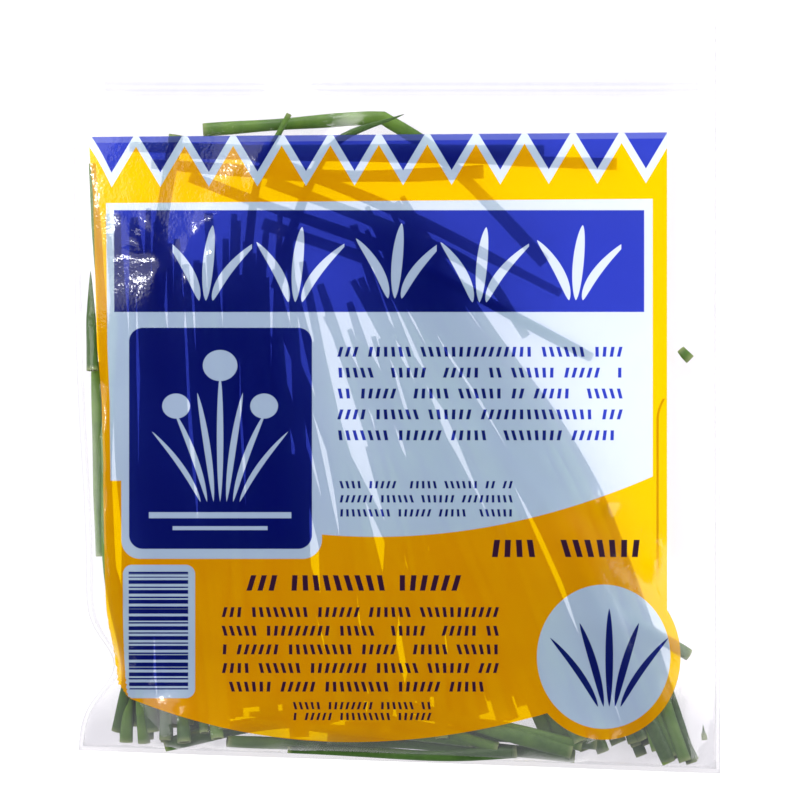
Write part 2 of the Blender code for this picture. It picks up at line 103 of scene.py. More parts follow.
# The chives. Each leaf is a hollow green tube, cut across at its foot and trimmed or tapering at its far
# end. Nothing ties them: they were laid in the pouch in handfuls, and rest on each other.
CELL = 0.5 * MM
GRID_X = np.arange(-POUCH_WIDTH / 2, POUCH_WIDTH / 2 + CELL / 2, CELL)
GRID_Y = np.arange(-POUCH_HEIGHT / 2, POUCH_HEIGHT / 2 + CELL / 2, CELL)
CONTROL_STEP = 18 * MM
SAMPLE_STEP = 1 * MM
MOST_DIP = 2.2 * MM
MOST_END_DROP = 4.0 * MM
SETTLE_SWEEPS = 30
LEAST_SHARE = 0.2
EDGE_MARGIN = 1.2 * MM
SIDE_WELD = 1.2 * MM
FLOOR_GAP = 1.0 * MM
LEAF_GAP = 0.6 * MM
SINK = 0.9 * MM
HANDFULS = (
    dict(seed=3, count=24, cut=((-63, -82), (-20, -75)), far=((-66, 39), (-26, 36)), bow=-2, stray=0.25),
    dict(seed=5, count=20, cut=((-30, -76), (30, -75)), far=((-38, 34), (-5, 15)), bow=3, stray=0.2),
    dict(seed=8, count=22, cut=((36, -82), (70, -87)), far=((-9, 38), (3, 43)), bow=8, stray=0.25),
)
SINGLE_LEAVES = {
    "chive_top_row_1": (((34, 55), (-15, 55), (-62, 56)), 2.4, 0.8),
    "chive_top_row_2": (((51, 52), (10, 53), (-48, 54)), 2.2, 0.7),
    "chive_top_row_3": (((20, 50), (-12, 49), (-57, 52)), 2.6, 0.8),
    "chive_top_row_4": (((-36, 55), (0, 41), (38, 22)), 2.4, 0.7),
    "chive_top_row_5": (((-30, 48), (-4, 38), (19, 27), (30, 12)), 2.4, 0.8),
    "chive_top_row_6": (((-48, 49), (-28, 41.5), (0, 31.5), (15, 24)), 2.2, 0.8),
    "chive_top_row_7": (((-31, 38), (-12, 31.5), (2, 26.5), (18, 19)), 2.4, 0.8),
    "chive_panel_slant": (((45, 7), (26, 17), (7, 28)), 2.0, 0.9),
    "chive_upright_top": (((-51, 58.5), (-53, 46.5), (-55, 32.6), (-56, 14)), 2.6, 0.9),
    "chive_thin_top": (((-35, 18), (-34.3, 32), (-32.7, 45), (-29, 55.7), (-24.8, 63)), 1.8, 0.6),
    "chive_crossing_top": (((-28, 23), (-24, 37), (-19, 47.6), (-13, 57.4), (1.6, 63.2)), 2.2, 0.4),
    "chive_left_edge_1": (((-67, -2), (-68, 14), (-69.3, 32.6), (-70.6, 52)), 2.2, 0.6),
    "chive_left_edge_2": (((-69, -39), (-69, -18), (-69.5, 6)), 2.2, 0.9),
    "chive_left_edge_3": (((-68, -51), (-68, -32), (-67.6, -11)), 2.0, 0.8),
    "chive_left_edge_4": (((-70, 4), (-70.6, 15), (-71, 27)), 2.2, 0.5),
    "chive_right_end": (((67.5, -61.8), (57.5, -55.5), (47, -48.6)), 2.2, 0.9),
    "chive_bottom_slant": (((-53.5, -84.5), (-39, -78.5), (-15, -76)), 2.8, 0.9),
    "chive_bottom_row_1": (((-6, -84), (-22, -82.5), (-39, -81.2)), 2.4, 0.9),
    "chive_bottom_row_2": (((41, -85), (15, -82.8), (-16, -81)), 2.6, 0.9),
    "chive_bottom_row_3": (((46, -82), (17, -79.5), (-12, -78)), 2.4, 0.8),
    "chive_crumb_side": (((68, 6.6), (66.8, 7.8), (65.8, 9)), 2.0, 0.8),
    "chive_crumb_corner": (((71.2, -81.5), (71, -79.8), (70.9, -78)), 1.6, 0.4),
}
BENT_LEAF = (
    (34.3, 29), (26, 38), (17, 47.2), (8.6, 55), (-1.5, 61.5), (-5.5, 62.6), (-23, 61.4), (-45, 59.8),
)
BENT_LEAF_DIAMETER = 2.6
# How far a handful's leaves stray across and up, in millimetres, at the foot, far end and middle
FOOT_STRAY = ((-1, 1), (-2, 4))
FAR_STRAY = ((-2, 2), (-14, 5))
MIDDLE_STRAY = (-3, 3)
DIAMETERS = (2.1, 2.9)
TIP_SHARES = (0.6, 0.95)
THINNER_TIP = 0.62
PINCH_REACH = 10 * MM
FOOT_GAP = 1.2 * MM
# A single leaf whose tip is no thicker than this share of it closes to a point
POINTED_TIP = 0.5
POINT_BLUNT, POINT_LENGTH, POINT_POWER = 0.12, 14 * MM, 0.6
LEAF_SIDES = 14
RING_STEP = 2.2 * MM
# A leaf pressed in a pouch is wider than it is high, more so at some places along it
WIDER, LOWER = 1.18, 0.76
LONG_PRESS, LONG_PRESS_REACH = 0.07, 9 * MM
SHORT_PRESS, SHORT_PRESS_REACH = 0.05, 4 * MM
RIDGES, SKIN_RIDGE, LIP_RIDGE = 5, 0.035, 0.02
WALL_SHARE = 0.72
MOUTH_DEPTH, MOUTH_TAPER = 1.6 * MM, 0.9
# How far the cut flesh is pale, and how deep into each hollow end painted shade darkens it
PALE_CUT, INSIDE_SHADE_REACH = 1.2 * MM, 1.5 * MM
SHARP_ANGLE = 50
BENT_PALER, BOTTOM_DARKER = 0.5, 0.3


class Heap:
    """The height of every leaf laid so far, over the back wall, on a grid."""

    def __init__(self):
        xs, ys = np.meshgrid(GRID_X, GRID_Y, indexing="ij")
        self.floor = back_wall(xs, ys) + FLOOR_GAP
        self.fence = np.full_like(self.floor, -1.0)
        self.own = self.fence.copy()
        self.own_fence = self.fence.copy()
        self.seen = self.fence.copy()
        self.sink = SINK

    def close_node(self):
        """The leaves laid since the last call are one finished piece, which others stay clear of."""
        finished = self.own, self.own_fence
        self.fence = np.maximum(self.fence, self.own_fence)
        self.own = np.full_like(self.floor, -1.0)
        self.own_fence = self.own.copy()
        return finished

    def around(self, x, y, radius):
        """Cells within a radius of each point: their indices and the round leaf's height over each."""
        reach = int(math.ceil(radius.max() / CELL)) + 1
        steps = np.arange(-reach, reach + 1)
        dx, dy = (a.ravel() for a in np.meshgrid(steps, steps, indexing="ij"))
        ix = np.rint((x - GRID_X[0]) / CELL).astype(int)[:, None] + dx
        iy = np.rint((y - GRID_Y[0]) / CELL).astype(int)[:, None] + dy
        ix = np.clip(ix, 0, len(GRID_X) - 1)
        iy = np.clip(iy, 0, len(GRID_Y) - 1)
        away = (GRID_X[ix] - x[:, None]) ** 2 + (GRID_Y[iy] - y[:, None]) ** 2
        inside = radius[:, None] ** 2 - away
        return ix, iy, np.where(inside > 0, np.sqrt(np.maximum(inside, 0)), -1.0)

    def need(self, x, y, radius):
        """The least height of a leaf's middle at each point."""
        ix, iy, rise = self.around(x, y, radius)
        under = np.maximum(self.floor[ix, iy], self.fence[ix, iy])
        under = np.maximum(under, self.own[ix, iy] - self.sink)
        return np.where(rise > 0, under + rise, -1.0).max(axis=1)

    def raise_to(self, surface, x, y, z, radius, lower=1.0):
        ix, iy, rise = self.around(x, y, radius)
        np.maximum.at(surface, (ix, iy), np.where(rise > 0, z[:, None] + lower * rise, -1.0))

    def bare_share(self, plan):
        """How much of a leaf's middle line lies where no leaf has been laid."""
        line = evenly(plan, SAMPLE_STEP, 6)
        ix = np.rint((line[:, 0] - GRID_X[0]) / CELL).astype(int)
        iy = np.rint((line[:, 1] - GRID_Y[0]) / CELL).astype(int)
        return (self.seen[ix, iy] < 0).mean()

    def lay(self, plan, radii):
        """Lets a leaf down on the heap along its middle line, plan. Returns its points with heights."""
        lengths = np.hypot(*np.diff(plan, axis=0).T)
        spots, segments, shares = [], [], []
        for k, length in enumerate(lengths):
            steps = max(2, int(length / SAMPLE_STEP))
            share = np.arange(steps + (k == len(lengths) - 1)) / steps
            spots.append(plan[k] + share[:, None] * (plan[k + 1] - plan[k]))
            segments.append(np.full(len(share), k))
            shares.append(share)
        spots, segments, shares = map(np.concatenate, (spots, segments, shares))
        thick = radii[segments] * (1 - shares) + radii[segments + 1] * shares
        need = self.need(spots[:, 0], spots[:, 1], thick)
        z = settle(need, segments, shares, len(plan))
        along = z[segments] * (1 - shares) + z[segments + 1] * shares
        self.raise_to(self.own, spots[:, 0], spots[:, 1], along, thick)
        self.raise_to(self.own_fence, spots[:, 0], spots[:, 1], along, thick + LEAF_GAP)
        return np.column_stack([plan, z])


def settle(need, segments, shares, count):
    """Heights of a bending leaf's control points, as low as the heap and its stiffness let them."""
    z = np.full(count, need.max())
    for _ in range(SETTLE_SWEEPS):
        for j in range(count):
            low = -1.0
            for k, weight in ((j - 1, shares), (j, 1 - shares)):
                if not 0 <= k < count - 1:
                    continue
                other = z[j - 1] if k == j - 1 else z[j + 1]
                here = (segments == k) & (weight >= LEAST_SHARE)
                if here.any():
                    part = weight[here]
                    low = max(low, ((need[here] - (1 - part) * other) / part).max())
            if 0 < j < count - 1:
                low = max(low, (z[j - 1] + z[j + 1]) / 2 - MOST_DIP)
            else:
                low = max(low, z[1 if j == 0 else j - 1] - MOST_END_DROP)
            z[j] = low
    along = z[segments] * (1 - shares) + z[np.minimum(segments + 1, count - 1)] * shares
    return z + max(0.0, (need - along).max())


def smooth_line(points, per_span):
    """Points on a smooth curve through the given ones."""
    before = 2 * points[0] - points[1]
    after = 2 * points[-1] - points[-2]
    line = np.vstack([before, points, after])
    fine = []
    for a, b, c, d in zip(line, line[1:], line[2:], line[3:]):
        for t in np.arange(per_span) / per_span:
            pull = (-a + 3 * b - 3 * c + d) * t + 2 * a - 5 * b + 4 * c - d
            fine.append(b + 0.5 * t * (c - a + pull * t))
    return np.array([*fine, points[-1]])


def evenly(points, step, least):
    """The same line with its points evenly spaced."""
    travel = np.concatenate([[0], np.cumsum(np.linalg.norm(np.diff(points, axis=0), axis=1))])
    count = max(least, int(round(travel[-1] / step)) + 1)
    even = np.linspace(0, travel[-1], count)
    return np.column_stack([np.interp(even, travel, points[:, i]) for i in range(points.shape[1])])


def leaf_plan(*corners):
    """Control points of a leaf whose middle line passes through corners given in millimetres."""
    return evenly(smooth_line(np.array(corners, float) * MM, 10), CONTROL_STEP, 3)


def radii_along(count, diameter, tip_share):
    along = np.linspace(0, 1, count)
    return diameter * MM / 2 * (1 - (1 - tip_share) * along**2)


def inside_pouch(plan, radius):
    """Moves a leaf's points that come too near the pouch's edge back in, past the pinch as well."""
    plan = np.array(plan)
    margin = radius + SIDE_WELD + EDGE_MARGIN
    plan[:, 1] = np.maximum(plan[:, 1], bottom_edge(plan[:, 0]) + radius + FOOT_GAP)
    for reach in (-PINCH_REACH, 0, PINCH_REACH):
        plan[:, 0] = np.maximum(plan[:, 0], left_edge(plan[:, 1] + reach) + margin)
    plan[:, 0] = np.minimum(plan[:, 0], POUCH_WIDTH / 2 - margin)
    return plan


def handful_leaves(seed, count, cut, far, bow, stray):
    """Plans and radii of a handful's leaves, spread evenly and laid in a shuffled order."""
    draw = random.Random(seed)
    order = list(range(count))
    draw.shuffle(order)
    cut, far = np.array(cut, float), np.array(far, float)
    for place in order:
        share = (place + draw.uniform(0.2, 0.8)) / count
        across = min(1, max(0, share + draw.uniform(-stray, stray)))
        start = cut[0] + share * (cut[1] - cut[0]) + [draw.uniform(*span) for span in FOOT_STRAY]
        end = far[0] + across * (far[1] - far[0]) + [draw.uniform(*span) for span in FAR_STRAY]
        side = np.array([end[1] - start[1], start[0] - end[0]])
        side /= np.hypot(*side)
        middle = (start + end) / 2 + side * (bow * share + draw.uniform(*MIDDLE_STRAY))
        diameter = draw.uniform(*DIAMETERS)
        plan = inside_pouch(leaf_plan(start, middle, end), diameter * MM / 2)
        yield plan, radii_along(len(plan), diameter, draw.uniform(*TIP_SHARES) * THINNER_TIP)


class LeafMesh:
    """Gathers leaves into one mesh, with each leaf's tone and the distance from its nearer cut end."""

    def __init__(self, seed, paler=0.0):
        self.draw = random.Random(seed)
        self.paler = paler
        self.points, self.faces, self.tones, self.ends = [], [], [], []

    def ring(self, middle, side, up, width, height, ridge, turn):
        first = len(self.points)
        for k in range(LEAF_SIDES):
            angle = 2 * math.pi * k / LEAF_SIDES
            grow = 1 + ridge * math.cos(RIDGES * angle + turn)
            outward = width * math.cos(angle) * side + height * math.sin(angle) * up
            self.points.append(middle + grow * outward)
        return list(range(first, first + LEAF_SIDES))

    def join(self, low, high):
        for k in range(LEAF_SIDES):
            after = (k + 1) % LEAF_SIDES
            self.faces.append((low[k], low[after], high[after], high[k]))

    def add(self, points, radii, pointed=False):
        """A leaf along points. Its cut ends are open tubes, and a pointed far end closes."""
        line = evenly(smooth_line(np.column_stack([points, radii]), 8), RING_STEP, 6)
        middles, radii = line[:, :3], line[:, 3]
        ahead = np.gradient(middles, axis=0)
        ahead /= np.linalg.norm(ahead, axis=1)[:, None]
        tone = self.draw.random() + self.paler
        turn = self.draw.uniform(0, 6)
        wave = self.draw.uniform(0, 6)
        step = np.linalg.norm(middles[1] - middles[0])
        length = step * (len(middles) - 1)
        first = len(self.points)
        rings, distances = [], []
        for k, (middle, forward, radius) in enumerate(zip(middles, ahead, radii)):
            side = np.cross(forward, (0, 0, 1))
            side /= np.linalg.norm(side)
            up = np.cross(side, forward)
            travel = k * step
            pressed = 1 + LONG_PRESS * math.sin(travel / LONG_PRESS_REACH + wave)
            pressed += SHORT_PRESS * math.sin(travel / SHORT_PRESS_REACH + 2 * wave)
            if pointed:
                radius = radius * min(1, POINT_BLUNT + ((length - travel) / POINT_LENGTH) ** POINT_POWER)
            width, height = radius * WIDER * pressed, radius * LOWER / pressed
            rings.append(self.ring(middle, side, up, width, height, SKIN_RIDGE, turn))
            distances.append(travel if pointed else min(travel, length - travel))
        for low, high in zip(rings, rings[1:]):
            self.join(low, high)
        ends = [(0, 1)] if pointed else [(0, 1), (-1, -1)]
        if pointed:
            self.faces.append(tuple(rings[-1]))
        for at, inward in ends:
            forward = ahead[at] * inward
            side = np.cross(ahead[at], (0, 0, 1))
            side /= np.linalg.norm(side)
            up = np.cross(side, ahead[at])
            width, height = radii[at] * WIDER * WALL_SHARE, radii[at] * LOWER * WALL_SHARE
            lip = self.ring(middles[at], side, up, width, height, LIP_RIDGE, turn)
            bottom = middles[at] + forward * MOUTH_DEPTH
            deep = self.ring(bottom, side, up, width * MOUTH_TAPER, height * MOUTH_TAPER, 0, 0)
            if at == 0:
                self.join(lip, rings[0])
                self.join(deep, lip)
                self.faces.append(tuple(deep))
            else:
                self.join(rings[-1], lip)
                self.join(lip, deep)
                self.faces.append(tuple(deep[::-1]))
            # The deep ring inside each cut end is marked below zero, where the finish paints shade into
            # the hollow.
            distances += [0.0, -INSIDE_SHADE_REACH]
        count = len(self.points) - first
        self.tones += [tone] * count
        self.ends += [d for d in distances for _ in range(LEAF_SIDES)]

    def finish(self, name, material):
        mesh = bpy.data.meshes.new(name)
        mesh.from_pydata([tuple(p) for p in self.points], [], self.faces)
        for key, values in (("leaf_tone", self.tones), ("from_end", self.ends)):
            layer = mesh.attributes.new(key, "FLOAT", "POINT")
            layer.data.foreach_set("value", np.array(values, np.float32))
        mesh.shade_smooth()
        mesh.set_sharp_from_angle(angle=math.radians(SHARP_ANGLE))
        made = bpy.data.objects.new(name, mesh)
        bpy.context.scene.collection.objects.link(made)
        made.data.materials.append(material)
        return made


class Wire:
    """A shader socket that takes part in Python expressions."""

    def __init__(self, tree, socket=None):
        self.tree = tree
        self.socket = socket

    def node(self, kind, settings=None, inputs=None, out=0):
        """Adds a node: its settings are made first, then its sockets get their values or links."""
        made = self.tree.nodes.new(kind)
        for key, value in (settings or {}).items():
            if key == "stops":
                ramp = made.color_ramp.elements
                for k, (place, colour) in enumerate(value):
                    stop = ramp[k] if k < 2 else ramp.new(place)
                    stop.position = place
                    stop.color = (*colour, 1)
            else:
                setattr(made, key, value)
        for key, value in (inputs or {}).items():
            if isinstance(value, Wire):
                self.tree.links.new(value.socket, made.inputs[key])
            elif isinstance(value, tuple) and made.inputs[key].type == "RGBA":
                made.inputs[key].default_value = (*value, 1)
            else:
                made.inputs[key].default_value = value
        return Wire(self.tree, made.outputs[out])

    def maths(self, operation, *others, clamp=False):
        values = dict(enumerate((self, *others)))
        return self.node("ShaderNodeMath", {"operation": operation, "use_clamp": clamp}, values)

    def __add__(self, other):
        return self.maths("ADD", other)

    __radd__ = __add__

    def __sub__(self, other):
        return self.maths("SUBTRACT", other)

    def __rsub__(self, other):
        return self.node("ShaderNodeMath", {"operation": "SUBTRACT"}, {0: other, 1: self})

    def __mul__(self, other):
        return self.maths("MULTIPLY", other)

    __rmul__ = __mul__

    def __truediv__(self, other):
        return self.maths("DIVIDE", other)

    def __pow__(self, other):
        return self.maths("POWER", other)

    def __abs__(self):
        return self.maths("ABSOLUTE")

    def clamp(self):
        return self.maths("ADD", 0.0, clamp=True)

    def least(self, other):
        return self.maths("MINIMUM", other)

    def most(self, other):
        return self.maths("MAXIMUM", other)

    def mix(self, low, high):
        """A colour between two, by this wire."""
        settings = {"data_type": "RGBA", "clamp_factor": True}
        return self.node("ShaderNodeMix", settings, {0: self, 6: low, 7: high}, out=2)

    def shaders(self, low, high):
        """A surface between two, by this wire."""
        return self.node("ShaderNodeMixShader", {}, {0: self, 1: low, 2: high})


def new_finish(name):
    """An empty material, and a wire to build its nodes from."""
    made = bpy.data.materials.new(name)
    made.use_nodes = True
    made.node_tree.nodes.clear()
    return made, Wire(made.node_tree)


def show(wire, surface):
    made = wire.tree.nodes.new("ShaderNodeOutputMaterial")
    wire.tree.links.new(surface.socket, made.inputs["Surface"])


def chive_finish():
    """Fresh leaf skin: fine lengthwise veins, a faint waxy bloom, pale cut flesh, and painted shade in
    the hollow ends.
    """
    made, wire = new_finish("chive_leaf_skin")
    place = wire.node("ShaderNodeTexCoord", out=3)
    tone = wire.node("ShaderNodeAttribute", {"attribute_name": "leaf_tone"}, out=2)
    end = wire.node("ShaderNodeAttribute", {"attribute_name": "from_end"}, out=2)
    mottle = wire.node("ShaderNodeTexNoise", {}, {"Vector": place, "Scale": 160.0, "Detail": 4.0})
    bloom = wire.node("ShaderNodeTexNoise", {}, {"Vector": place, "Scale": 900.0, "Detail": 2.0})
    shade = (tone * 0.65 + mottle * 0.7 - 0.18).clamp()
    stops = [(0.0, (0.012, 0.045, 0.004)), (0.5, (0.05, 0.13, 0.012)), (1.0, (0.17, 0.33, 0.03))]
    green = shade.node("ShaderNodeValToRGB", {"stops": stops}, {0: shade})
    waxy = (bloom * 0.4 - 0.14).clamp().mix(green, (0.17, 0.29, 0.08))
    cut = (1 - end / PALE_CUT).clamp()
    skin = (cut * 0.7).mix(waxy, (0.3, 0.36, 0.14))
    # Painted shade: deeper inside each hollow cut end the colour turns darker, standing in for the shade
    # in the tube.
    inside = (end * -1 / INSIDE_SHADE_REACH).clamp().mix(skin, (0.2, 0.27, 0.09))
    bump = wire.node("ShaderNodeBump", {}, {"Strength": 0.25, "Distance": 0.1 * MM, "Height": mottle})
    sheen = {"Base Color": inside, "Roughness": mottle * 0.2 + 0.38, "Normal": bump}
    sheen["Specular IOR Level"] = 0.35
    show(wire, wire.node("ShaderNodeBsdfPrincipled", {}, sheen))
    return made


def lay_leaf(leaves, plan, radii, pointed=False):
    """Lets a leaf down on the heap and adds it to a mesh of leaves."""
    laid = heap.lay(plan, radii)
    leaves.add(laid, radii, pointed)
    line = evenly(smooth_line(np.column_stack([laid, radii]), 8), SAMPLE_STEP, 6)
    heap.raise_to(heap.seen, *line.T, LOWER)


def put_in_pouch(leaves, node):
    made = leaves.finish(node + "_leaves", leaf_skin)
    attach(made, "root")
    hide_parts(node)


leaf_skin = chive_finish()
heap = Heap()
bunch = LeafMesh(seed=11)
for handful in HANDFULS:
    for plan, radii in handful_leaves(**handful):
        lay_leaf(bunch, plan, radii)
bunch_laid = heap.close_node()

# One leaf at the top is folded over, so that its two straight lengths meet in a sharp crease. It and the
# leaves after it lie apart from the bunch, across the top, down the left edge and along the fold.
plan = np.array(BENT_LEAF) * MM
radii = radii_along(len(plan), BENT_LEAF_DIAMETER, 1.0)
bent = LeafMesh(seed=4, paler=BENT_PALER)
lay_leaf(bent, plan, radii)
singles_fence = heap.close_node()[1]
put_in_pouch(bent, "chive_bent_top")

for name, (corners, diameter, tip_share) in SINGLE_LEAVES.items():
    plan = inside_pouch(leaf_plan(*corners), diameter * MM / 2)
    radii = radii_along(len(plan), diameter, tip_share)
    single = LeafMesh(seed=name, paler=-BOTTOM_DARKER if name.startswith("chive_bottom") else 0.0)
    lay_leaf(single, plan, radii, pointed=tip_share <= POINTED_TIP)
    singles_fence = np.maximum(singles_fence, heap.close_node()[1])
    put_in_pouch(single, name)

# More leaves of the bunch are pressed into the gaps that are left between the first ones. Some fan out at
# the lower left, some lie nearly level along the fold, and short ones fill the lower middle.
FILLER_SINK, FOLD_SINK = 1.8 * MM, 2.6 * MM
LEFT_SHORTER, SHORTER = 5, 15
LEAST_BARE = 0.3
AT_LOWER_LEFT = ((-69, -78), (-52, -83.5))
LOW_HANDFULS = (
    dict(seed=41, count=9, cut=((16, -84), (44, -85.5)), far=((-40, -80), (2, -68)), bow=4, stray=0.2),
    dict(seed=52, count=9, cut=AT_LOWER_LEFT, far=((-53, -50), (-46, -40)), bow=0, stray=0.1),
    dict(seed=61, count=44, cut=((-44, -78), (40, -80)), far=((-36, -14), (26, -22)), bow=3, stray=0.15),
)
LOW_LEAST_BARE = (0.12, 0.12, 0.2)
heap.own, heap.own_fence = bunch_laid
heap.fence = singles_fence
heap.sink = FILLER_SINK
left, middle, right = HANDFULS
for handful, seed in zip((left, right, middle, left, right, left, left, right), range(31, 39)):
    far = np.array(handful["far"]) - (0, LEFT_SHORTER if handful is left else SHORTER)
    for plan, radii in handful_leaves(**{**handful, "seed": seed, "far": far}):
        if heap.bare_share(plan) > LEAST_BARE:
            lay_leaf(bunch, plan, radii)
heap.sink = FOLD_SINK
for handful, least_bare in zip(LOW_HANDFULS, LOW_LEAST_BARE):
    for plan, radii in handful_leaves(**handful):
        if heap.bare_share(plan) > least_bare:
            lay_leaf(bunch, plan, radii)
put_in_pouch(bunch, "chive_bunch")


# The press-to-close strip: a rib and a channel of milky extruded plastic, joined to the film above the
# print. Its two ridges show as faint lines across the header.
def zip_finish():
    made, wire = new_finish("zip_plastic")
    clear = wire.node("ShaderNodeBsdfTransparent", {}, {"Color": (0.993, 0.995, 0.999)})
    milk = {"Base Color": (0.8, 0.85, 0.9), "Roughness": 0.25}
    milky = wire.node("ShaderNodeBsdfPrincipled", {}, milk)
    place = wire.node("ShaderNodeTexCoord", out=3)
    drawn = wire.node("ShaderNodeTexNoise", {}, {"Vector": place, "Scale": 140.0, "Detail": 2.0})
    show(wire, (drawn * 0.03 + 0.005).shaders(clear, milky))
    return made


zip_plastic = zip_finish()
for name in ("zip_rib", "zip_channel"):
    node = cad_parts[name]
    node.data.materials.clear()
    node.data.materials.append(zip_plastic)


# The pouch film: thin clear plastic, drawn over the leaves and welded at its edges. The front wall is
# printed with see-through yellow, blue and white ink, so that the leaves behind show as darker shapes.
FILM_STEP = 1.0 * MM
FILM_GAP = 0.25 * MM
MOUTH_GAP = 0.6 * MM
ZIP_FOOT, ZIP_STACK, ZIP_HALF = 0.4 * MM, 3.3 * MM, 2.6 * MM
ZIP_ENDS = (-67.7 * MM, 69.8 * MM)
LEAF_SPREAD = 2
DRAW_SWEEPS = 900
OVER_RELAX = 1.85
SOFTEN_SWEEPS = 8
# Long soft creases, light ripples, and small sharp nips in crumples. Spans are in millimetres.
CREASES, CREASE_LENGTH, CREASE_WIDTH, CREASE_HEIGHT = 26, (10, 45), (0.8, 2.6), (0.1, 0.38)
RIPPLES, RIPPLE_LENGTH, RIPPLE_HEIGHT = 14, (8, 26), 0.02 * MM
NIPS, NIP_LENGTH, NIP_WIDTH, NIP_HEIGHT = 9, (1.6, 4), (0.6, 0.95), (0.3, 0.6)
# The crumples stand where the film is nipped between leaves: middle across and up, and reach
CRUMPLES = (
    (-60.5, 36, 4), (-49, 29, 4), (-42, 35, 5), (47.5, -26, 1.5), (59, -40, 1.5), (-52, -72, 5),
    (28, -30, 6),
)
CALM_EDGE, CALM_TOP, CALM_TOP_REACH = 8 * MM, 66 * MM, 10 * MM
# The print looks straight from where the eye is, except near the left weld, where the film turns down
# steeply over the leaves: there the print's edge, at WRAP_EDGE in the print, lies along this line.
EYE = (0.7 * MM, -2.8 * MM, 775.7 * MM)
PRINT_PLANE = 3 * MM
WRAP_EDGE = -70.3 * MM
WRAP_START = -62 * MM
WRAP_POWER = 2.8
WRAP = ((-75, -63), (-70.5, -63.8), (-60, -65.6), (-53, -67.1), (-45, -67.5), (-21, -68), (-3, -68.3),
        (10, -69.5), (36, -70.2), (45, -70.5), (58, -71.6))


def flat_place(xs, ys, zs):
    """Where each point of the film lies in the print, from 0 to 1 across and up the pouch."""
    nearer = (EYE[2] - PRINT_PLANE) / (EYE[2] - zs)
    u = EYE[0] + (xs - EYE[0]) * nearer
    v = EYE[1] + (ys - EYE[1]) * nearer
    wrap = np.interp(v, *np.array(WRAP).T * MM)
    t = np.clip((WRAP_START - u) / (WRAP_START - wrap), 0, 1)
    u = u - (wrap - WRAP_EDGE) * t**WRAP_POWER
    return u / POUCH_WIDTH + 0.5, v / POUCH_HEIGHT + 0.5


def film_grid():
    """The film's own grid: x and y of every crossing."""
    columns = np.linspace(-POUCH_WIDTH / 2, POUCH_WIDTH / 2, int(round(POUCH_WIDTH / FILM_STEP)) + 1)
    rows = np.linspace(-POUCH_HEIGHT / 2, POUCH_HEIGHT / 2, int(round(POUCH_HEIGHT / FILM_STEP)) + 1)
    us, vs = np.meshgrid(columns, rows, indexing="ij")
    fade = np.clip((SLOPE_END - vs) / (SLOPE_END + POUCH_HEIGHT / 2), 0, 1)
    ys = vs + (bottom_edge(us) + POUCH_HEIGHT / 2) * fade
    left = left_edge(ys)
    xs = left + (us + POUCH_WIDTH / 2) / POUCH_WIDTH * (POUCH_WIDTH / 2 - left)
    return xs, ys


def spread_high(field, cells):
    """Each cell takes the highest value within a number of cells of it."""
    for axis in (0, 1):
        best = field.copy()
        for shift in range(-cells, cells + 1):
            best = np.maximum(best, np.roll(field, shift, axis))
        field = best
    return field


def soften(field):
    """One light blur that leaves the edges where they are."""
    middle = field[1:-1, 1:-1] * 4
    middle = middle + 2 * (field[:-2, 1:-1] + field[2:, 1:-1] + field[1:-1, :-2] + field[1:-1, 2:])
    middle = middle + field[:-2, :-2] + field[2:, 2:] + field[:-2, 2:] + field[2:, :-2]
    out = field.copy()
    out[1:-1, 1:-1] = middle / 16
    return out


def draw_tight(least, fixed):
    """Film drawn over the heap: nowhere lower than least, straight between what it touches."""
    height = least.copy()
    odd = np.add.outer(np.arange(least.shape[0]), np.arange(least.shape[1])) % 2
    inner = np.s_[1:-1, 1:-1]
    for sweep in range(DRAW_SWEEPS):
        free = ~fixed[inner] & (odd[inner] == sweep % 2)
        around = (height[:-2, 1:-1] + height[2:, 1:-1] + height[1:-1, :-2] + height[1:-1, 2:]) / 4
        moved = height[inner] + OVER_RELAX * (around - height[inner])
        height[inner] = np.where(free, np.maximum(least[inner], moved), height[inner])
    return height


def creases(xs, ys, seed):
    """Low soft folds and dents of the film, in metres, all upwards."""
    draw = random.Random(seed)
    field = np.zeros_like(xs)
    for _ in range(CREASES):
        angle = draw.uniform(-0.9, 0.9) + math.pi / 2 * (draw.random() < 0.25)
        along = np.array([math.sin(angle), math.cos(angle)])
        across = np.array([math.cos(angle), -math.sin(angle)])
        at_x, at_y = draw.uniform(-70, 70) * MM, draw.uniform(-85, 62) * MM
        length, width = draw.uniform(*CREASE_LENGTH) * MM, draw.uniform(*CREASE_WIDTH) * MM
        s = (xs - at_x) * along[0] + (ys - at_y) * along[1]
        t = (xs - at_x) * across[0] + (ys - at_y) * across[1] + s**2 * draw.uniform(-3, 3)
        height = draw.uniform(*CREASE_HEIGHT) * MM
        field += height * np.exp(-((s / length) ** 2) - np.abs(t / width) ** 1.4)
    for _ in range(RIPPLES):
        angle, wave = draw.uniform(0, 2 * math.pi), draw.uniform(*RIPPLE_LENGTH) * MM
        phase = draw.uniform(0, 2 * math.pi)
        ride = (xs * math.cos(angle) + ys * math.sin(angle)) * 2 * math.pi / wave + phase
        field += RIPPLE_HEIGHT * (1 + np.sin(ride))
    for middle_x, middle_y, reach in CRUMPLES:
        for _ in range(NIPS):
            angle = draw.uniform(-1.2, 1.2)
            at_x = (middle_x + draw.uniform(-1, 1) * reach) * MM
            at_y = (middle_y + draw.uniform(-1, 1) * reach) * MM
            s = (xs - at_x) * math.sin(angle) + (ys - at_y) * math.cos(angle)
            t = (xs - at_x) * math.cos(angle) - (ys - at_y) * math.sin(angle)
            length, width = draw.uniform(*NIP_LENGTH) * MM, draw.uniform(*NIP_WIDTH) * MM
            height = draw.uniform(*NIP_HEIGHT) * MM
            field += height * np.exp(-((s / length) ** 2) - (t / width) ** 2)
    return field


